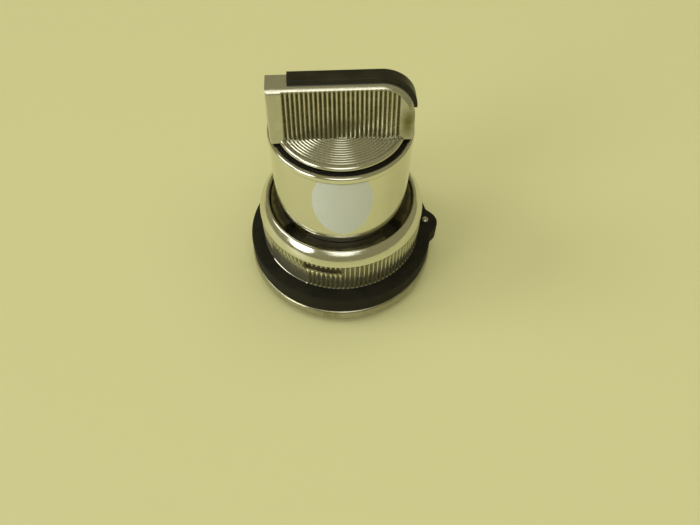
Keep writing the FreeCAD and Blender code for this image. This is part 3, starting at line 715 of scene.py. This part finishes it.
# %% locating pin
pin_centre = (pin_low + pin_high) / 2
pin_radius = (pin_high[0] - pin_low[0]) / 2
pin_profile = rounded_profile([(0, pin_low[2], 0), (pin_radius, pin_low[2], 0.1),
                               (pin_radius, pin_high[2], 0.55), (0, pin_high[2], 0)])
pin_grid = turned(pin_profile, full_turn(48)) + np.array([pin_centre[0], pin_centre[1], 0])
rows, columns = pin_grid.shape[:2]
add_piece("locating_pin_surface", pin_grid, grid_faces(rows, columns, False, True), "housing",
          "bright_steel", "locating_pin")

# %% [markdown]
# ## Knob: the disc
#
# The lathe leaves fine rings on the disc's face, so its height is a cosine wave of the
# radius. Each ring shows its own small picture of the room, and together they make a
# fan of light. The hub and the groove for the seal are turned in the same profile.

# %% knob disc
ring_pitch, ring_depth = 0.58, 0.17
disc_edge = 0.70
hub_radius, hub_length, seal_groove = 6.0, 4, 0.6
land = disc_edge + 0.12
z_hub = knob_low[2] + hub_length
face_radius = np.arange(disc_radius - land, 0, -ring_pitch / 8)
ring_wave = 0.5 - 0.5 * np.cos(2 * math.pi * (disc_radius - land - face_radius) / ring_pitch)
face = np.stack([face_radius, z_disc - ring_depth * ring_wave], -1)
edge = rounded_profile([
    (0, knob_low[2], 0), (hub_radius, knob_low[2], 0.3), (hub_radius, z_hub, 0),
    (disc_radius, z_hub, 0.15), (disc_radius, seal_low[2], 0.05),
    (disc_radius - seal_groove, seal_low[2], 0), (disc_radius - seal_groove, seal_high[2], 0),
    (disc_radius, seal_high[2], 0.08), (disc_radius, z_disc, disc_edge), (0, z_disc, 0)])[:-1]
centre = np.array([[0, z_disc - ring_depth]])
disc_grid = turned(np.concatenate([edge, face, centre]), full_turn(224))
disc_drop = z_disc - disc_grid[..., 2]
across = np.hypot(disc_grid[..., 0], disc_grid[..., 1])
in_rings = (disc_drop < ring_depth + 0.01) & (across < disc_radius - 0.5)
rows, columns = disc_grid.shape[:2]
add_piece("knob_disc_surface", disc_grid, grid_faces(rows, columns, False, True), "knob",
          "chrome_casting", "selector_knob", in_rings * disc_drop / ring_depth * 0.4)

# %% [markdown]
# ## Knob: the bar's grid
#
# Seen from the side the bar is square at one end and round at the pointer. Its two
# faces lean in towards the top and carry vee grooves. Each face is a height field on
# upright columns, so a groove always runs along the columns and stays straight. The
# columns and rows lie closer where the surface bends.

# %% columns and rows of the bar
bar_end, bar_foot = knob_high[0], z_rim + 0.4
nose, edge_round = 6.0, 0.78
rib_count, rib_pitch = 26, 0.8
rib_left = -rib_count / 2 * rib_pitch
nose_x, nose_z = bar_end - nose, z_bar - nose

round_steps = edge_round * (1 - np.cos(np.radians(np.linspace(0, 90, 12))))
margin_columns = evenly(-bar_end + edge_round, rib_left, 6)
flat_columns = np.arange(rib_left, nose_x - 0.01, rib_pitch / 8)
nose_columns = nose_x + nose * np.sin(np.radians(np.linspace(0, 90, 90)))
bar_x = np.concatenate([-bar_end + round_steps, margin_columns, flat_columns, nose_columns])
past_nose = np.clip(bar_x - nose_x, 0, None)
column_top = nose_z + np.sqrt(np.clip(nose ** 2 - past_nose ** 2, 0, None))

first_rows = round_steps / (z_bar - bar_foot)
row_drop = np.concatenate([first_rows, np.linspace(first_rows[-1], 1, 64)[1:]])
bar_x = bar_x[None, :] + 0 * row_drop[:, None]
bar_z = column_top[None, :] - row_drop[:, None] * (column_top[None, :] - bar_foot)
print("bar face: %d rows, %d columns" % bar_x.shape)

# %% [markdown]
# ## Knob: the bar's thickness
#
# The half thickness grows from the top to the foot, and at the two ends it is held
# inside a cylinder, because the bar may not stand out past the disc. The distance to
# the outline rounds the edges, and it also ends the grooves: a groove is never deeper
# than its distance from the edge allows, so each runs out in a point.

# %% thickness of the bar
foot_half, top_half, corner_reach = 4.7, 2.35, 13.6
end_round, edge_power, round_power = 0.35, 1.35, 2.0
rib_depth, rib_margin, rib_land, rib_run_out = 0.36, 0.55, 0.10, 0.9


def edge_depth(distance, size, power):
    """How far a rounded edge has fallen back: size - (size^p - t^p)^(1/p), with t the
    part of the size that is left. A power of 2 is round, and 1 is a flat chamfer."""
    left = np.clip(size - distance, 0, size)
    return size - np.clip(size ** power - left ** power, 0, None) ** (1 / power)


past_side = bar_x > nose_x
in_nose = past_side & (bar_z > nose_z)
from_nose = nose - np.hypot(bar_x - nose_x, bar_z - nose_z)
from_top = np.where(in_nose, from_nose, np.where(past_side, nose, z_bar - bar_z))
from_side = np.minimum(bar_x + bar_end, np.where(in_nose, nose, bar_end - bar_x))
from_edge = np.minimum(from_top, from_side)

lean = (foot_half - top_half) / (z_bar - z_disc)
half = top_half + lean * (z_bar - bar_z)
half = np.minimum(half, np.sqrt(np.clip(corner_reach ** 2 - bar_x ** 2, 0, None)))

crown = np.where(past_side, smooth_step(nose_z - 2.5, nose_z + 1.5, bar_z), 1.0)
size = end_round + (edge_round - end_round) * crown
power = round_power + (edge_power - round_power) * crown
outer_run = np.where(in_nose, from_nose, np.where(past_side, bar_end - bar_x, from_top))
rounding = np.maximum(edge_depth(outer_run, size, power),
                      edge_depth(bar_x + bar_end, end_round, round_power))

rib_phase = (bar_x - rib_left) / rib_pitch
rib_wave = 1 - np.abs((rib_phase % 1) * 2 - 1)
rib_wave = np.clip((rib_wave - rib_land) / (1 - rib_land), 0, 1)
in_ribs = (rib_phase > 0) & (rib_phase < rib_count)
allowed = np.clip(from_edge - rib_margin, 0, None) * rib_run_out
groove = np.minimum(rib_depth * rib_wave, allowed) * in_ribs
bar_y = half - rounding - groove
print("bar: %.2f mm thick at most, grooves %.2f mm deep" % (2 * bar_y.max(), groove.max()))

# %% [markdown]
# ## Knob: closing the bar
#
# The two faces are the same sheet, once in front and once behind. A strip between
# their borders closes them to a shell. Grime sits in the grooves, lies thinly on the
# flat parts, and has left one brown stain near the pointer.

# %% knob bar
def joined_sheets(front, back, hold=0.08):
    """Points and faces of a closed shell: two sheets of the same grid, and a strip
    between their borders. The strip has two more lines, a small share of the way in
    from each sheet, so that its middle stays flat."""
    rows, columns = front.shape[:2]
    count = rows * columns
    sheet = grid_faces(rows, columns)
    index = np.arange(count).reshape(rows, columns)
    border = np.concatenate([index[0], index[1:, -1], index[-1, -2::-1], index[-2:0:-1, 0]])
    near, far = front.reshape(-1, 3)[border], back.reshape(-1, 3)[border]
    points = np.concatenate([front.reshape(-1, 3), back.reshape(-1, 3),
                             near + (far - near) * hold, far - (far - near) * hold])
    steps = np.arange(len(border))
    lines = [border, steps + 2 * count, steps + 2 * count + len(border), border + count]
    strips = [np.stack([np.roll(a, -1), np.roll(b, -1), b, a], -1)
              for a, b in zip(lines, lines[1:])]
    return points, np.concatenate([sheet[:, ::-1], sheet + count] + strips)


front = np.stack([bar_x, -bar_y, bar_z], -1)
back = np.stack([bar_x, bar_y, bar_z], -1)
bar_points, bar_faces = joined_sheets(front, back)
stain_x, stain_z = bar_end - 1.2, z_disc + 0.28 * (z_bar - z_disc)
stain = 0.5 * np.exp(-((bar_x - stain_x) / 1.4) ** 2 - ((bar_z - stain_z) / 2.6) ** 2)
side_grime = (0.20 + 0.80 * groove / rib_depth + stain).reshape(-1)
bar_grime = np.full(len(bar_points), 0.12)
bar_grime[:2 * groove.size] = np.tile(side_grime, 2)
add_piece("knob_bar_surface", bar_points, bar_faces, "knob", "chrome_casting", "selector_knob",
          bar_grime * 0.9, 60.0)

# %% [markdown]
# ## Knob: the black strip
#
# A plastic strip let into the bar marks the pointer. It is one section carried along
# the top of the knob and down its nose. The path is a straight run and a part of a
# circle, and every section stands at right angles to the path, as in a sweep. Towards
# its tail the strip stands less proud.

# %% knob insert
strip_half = (insert_high[1] - insert_low[1]) / 2
proud, sunk = z_insert - z_bar, 0.4
tail_height = 43.0
straight_count, curve_count = 39, 60
tail_angle = math.degrees(math.asin((tail_height - nose_z) / nose))
sweep = np.radians(np.linspace(90, tail_angle, curve_count))
round_way = np.stack([np.cos(sweep), np.sin(sweep)], -1)
straight = np.stack([np.linspace(insert_low[0], nose_x, straight_count + 1)[:-1],
                     np.full(straight_count, z_bar)], -1)
path = np.concatenate([straight, np.array([nose_x, nose_z]) + nose * round_way])
outward = np.concatenate([np.tile([0.0, 1.0], (straight_count, 1)), round_way])
lift = np.concatenate([np.ones(straight_count), 1 - 0.35 * np.linspace(0, 1, curve_count) ** 1.5])

section = rounded_profile([(-strip_half, -sunk, 0), (strip_half, -sunk, 0),
                           (strip_half, proud, 0.16), (-strip_half, proud, 0.16)], 5, 0.03)
side, rise = section[:, 0], section[:, 1]
above = np.where(rise > 0, rise * lift[:, None], rise)
strip_grid = np.stack([path[:, None, 0] + outward[:, None, 0] * above,
                       side[None, :] + 0 * above,
                       path[:, None, 1] + outward[:, None, 1] * above], -1)
first_end = strip_grid[:1].mean(axis=1, keepdims=True) + 0 * strip_grid[:1]
last_end = strip_grid[-1:].mean(axis=1, keepdims=True) + 0 * strip_grid[:1]
strip_grid = np.concatenate([first_end, strip_grid, last_end])
rows, columns = strip_grid.shape[:2]
add_piece("knob_insert_surface", strip_grid, grid_faces(rows, columns, False, True), "knob",
          "black_insert", "knob_insert")

# %% [markdown]
# ## Seal
#
# The seal is a plain rubber ring that keeps dirt out of the gap round the disc. It
# lies deep in the gap and only has to look dark and soft.

# %% dirt seal
seal_bore = disc_radius - seal_groove + 0.02
seal_profile = rounded_profile([(seal_bore, seal_low[2], 0.05), (seal_high[0], seal_low[2], 0.25),
                                (seal_high[0], seal_high[2], 0.35), (seal_bore, seal_high[2], 0.05)])
seal_grid = turned(seal_profile, full_turn(192))
rows, columns = seal_grid.shape[:2]
add_piece("dirt_seal_surface", seal_grid, grid_faces(rows, columns, True, True), "knob",
          "black_rubber", "dirt_seal")

# %% [markdown]
# ## Paper label
#
# The label is an oval of thin paper wrapped round the sleeve and cut off under the
# rim. It is left blank. Its sheet has columns of equal azimuth, and each column runs
# from the oval's lower edge to its upper one.

# %% paper label
label_middle = math.radians(-91.5)
label_half_arc, label_half_height = 5.75, 8.5
label_z, label_top = z_sleeve + 10.65, z_rim - 1.55
paper_lift, paper_gap = 0.11, 0.005
label_turn = np.radians(np.linspace(-90, 90, 60))
arc = label_half_arc * np.sin(label_turn)
reach = label_half_height * np.cos(label_turn)
low, high = label_z - reach, np.minimum(label_z + reach, label_top)
low = np.minimum(low, high)
climb = np.linspace(0, 1, 40)[:, None]
label_height = low + (high - low) * climb
label_angle = label_middle + arc[None, :] / sleeve_radius + 0 * climb


def wrapped(radius):
    """The label's sheet at one radius: x is the radius times the cosine of each
    column's azimuth, y is the radius times its sine."""
    x, y = radius * np.cos(label_angle), radius * np.sin(label_angle)
    return np.stack([x, y, label_height], -1)


label_points, label_faces = joined_sheets(wrapped(wall + paper_lift), wrapped(wall + paper_gap))
add_piece("paper_label_surface", label_points, label_faces, "housing", "label_paper", "paper_label")

# %% [markdown]
# ## Floor
#
# The object stands on a pale, warm table. Chrome has no colour of its own, so most of
# what its upright walls show is this table. The sheet lies a hair below the object, so
# that the two never share a plane.

# %% floor
floor_reach, floor_drop = 1.2, 0.00002
corner_signs = ((-1, -1), (1, -1), (1, 1), (-1, 1))
floor_mesh = bpy.data.meshes.new("floor")
floor_mesh.from_pydata([(x * floor_reach, y * floor_reach, -floor_drop) for x, y in corner_signs],
                       [], [(0, 1, 2, 3)])
floor = bpy.data.objects.new("floor", floor_mesh)
bpy.context.scene.collection.objects.link(floor)
floor_material, _, floor_shader = new_material("floor")
floor_shader.inputs["Base Color"].default_value = (0.59, 0.575, 0.325, 1)
floor_shader.inputs["Roughness"].default_value = 0.45
floor.data.materials.append(floor_material)
print("floor reaches %.1f m each way" % floor_reach)

# %% [markdown]
# ## Lights
#
# Two large soft lights brighten the table and the matte parts: one nearly overhead,
# and one to the left like a window. Both are left out of reflections, because a lamp
# with a hard outline leaves a hard white rectangle on every rounded edge.

# %% lights
LIGHT_COLOUR = (1.0, 1.0, 0.82)
LIGHT_CENTRE = np.array([0, 0, 0.02])


def soft_light(name, azimuth, elevation, distance, size, power):
    """A square light that looks at the object from a direction given in degrees. Its
    distance and size are in metres, and its power in watts."""
    data = bpy.data.lights.new(name, "AREA")
    data.shape = "SQUARE"
    data.size = size
    data.energy = power
    data.color = LIGHT_COLOUR
    lamp = bpy.data.objects.new(name, data)
    lamp.visible_glossy = False
    bpy.context.scene.collection.objects.link(lamp)
    a, e = math.radians(azimuth), math.radians(elevation)
    direction = np.array([math.cos(e) * math.cos(a), math.cos(e) * math.sin(a), math.sin(e)])
    lamp.location = direction * distance + LIGHT_CENTRE
    lamp.rotation_euler = Vector(direction).to_track_quat("Z", "Y").to_euler()


soft_light("ceiling", 20, 80, 1.2, 1.5, 8.2)
soft_light("window", 172, 42, 0.9, 0.40, 1.1)

# %% [markdown]
# ## Room
#
# In a real room the bright areas fade out at their borders. So the ones that mirrors
# show are painted on the world: each is bright in one direction and falls off smoothly
# with the angle. The rest of the room is a dim, warm grey.

# %% room
WALLS, BRIGHT_WALLS = (0.27, 0.25, 0.125), (1.27, 1.25, 1.05)
world = bpy.data.worlds.new("room")
bpy.context.scene.world = world
world.use_nodes = True
room = world.node_tree
direction = room.nodes.new("ShaderNodeTexCoord").outputs["Generated"]


def bright_area(azimuth, elevation, inner, outer, strength):
    """Strength inside the inner angle of a direction, 0 outside the outer one. The
    angle comes from the dot product, whose value is its cosine."""
    a, e = math.radians(azimuth), math.radians(elevation)
    node = room.nodes.new("ShaderNodeVectorMath")
    node.operation = "DOT_PRODUCT"
    node.inputs[1].default_value = (math.cos(e) * math.cos(a), math.cos(e) * math.sin(a),
                                    math.sin(e))
    room.links.new(direction, node.inputs[0])
    fall = room.nodes.new("ShaderNodeMapRange")
    fall.interpolation_type = "SMOOTHSTEP"
    for name, number in (("From Min", math.cos(math.radians(outer))),
                         ("From Max", math.cos(math.radians(inner))), ("To Max", strength)):
        fall.inputs[name].default_value = number
    room.links.new(node.outputs["Value"], fall.inputs["Value"])
    return fall.outputs["Result"]


glow = maths(room, "ADD", bright_area(-90, 50, 4, 24, 1.7), bright_area(178, 36, 4, 17, 3.4))
glow = maths(room, "ADD", glow, bright_area(-146, 28, 3, 17, 5.5))
shades = mix_colours(room, glow, WALLS, BRIGHT_WALLS)
shades.node.clamp_factor = False
room.links.new(shades, room.nodes["Background"].inputs["Color"])
room.nodes["Background"].inputs["Strength"].default_value = 1.0
bpy.context.scene.view_settings.view_transform = "Standard"
print("room: three bright areas")

# %% [markdown]
# ## Camera
#
# The camera looks down on the object from the front, turned and rolled a little, as a
# camera held in the hand is. Two angles give its direction, a third gives its roll,
# and its three axes go straight into its matrix.

# %% camera
camera_elevation, camera_azimuth, camera_roll = np.radians([55.3, -4.0, 0.9])
camera_distance, aim_side, aim_height = 147.7, 2.09, -6.37
sideways = np.array([math.cos(camera_azimuth), math.sin(camera_azimuth), 0])
ahead = np.array([-math.sin(camera_azimuth), math.cos(camera_azimuth), 0])
forward = ahead * math.cos(camera_elevation) - np.array([0, 0, math.sin(camera_elevation)])
upward = np.cross(sideways, forward)
right = math.cos(camera_roll) * sideways + math.sin(camera_roll) * upward
top = math.cos(camera_roll) * upward - math.sin(camera_roll) * sideways
aim = sideways * aim_side + np.array([0, 0, aim_height])
stand = (aim - forward * camera_distance) * MM
data = bpy.data.cameras.new("camera")
data.sensor_width = 36.0
data.lens = 30.857
data.clip_start = 0.005
camera = bpy.data.objects.new("camera", data)
bpy.context.scene.collection.objects.link(camera)
axes = np.stack([right, top, -forward, stand], axis=-1)
camera.matrix_world = Matrix(axes.tolist() + [[0, 0, 0, 1]])
bpy.context.scene.camera = camera
print("camera stands %.0f mm from the aim" % camera_distance)
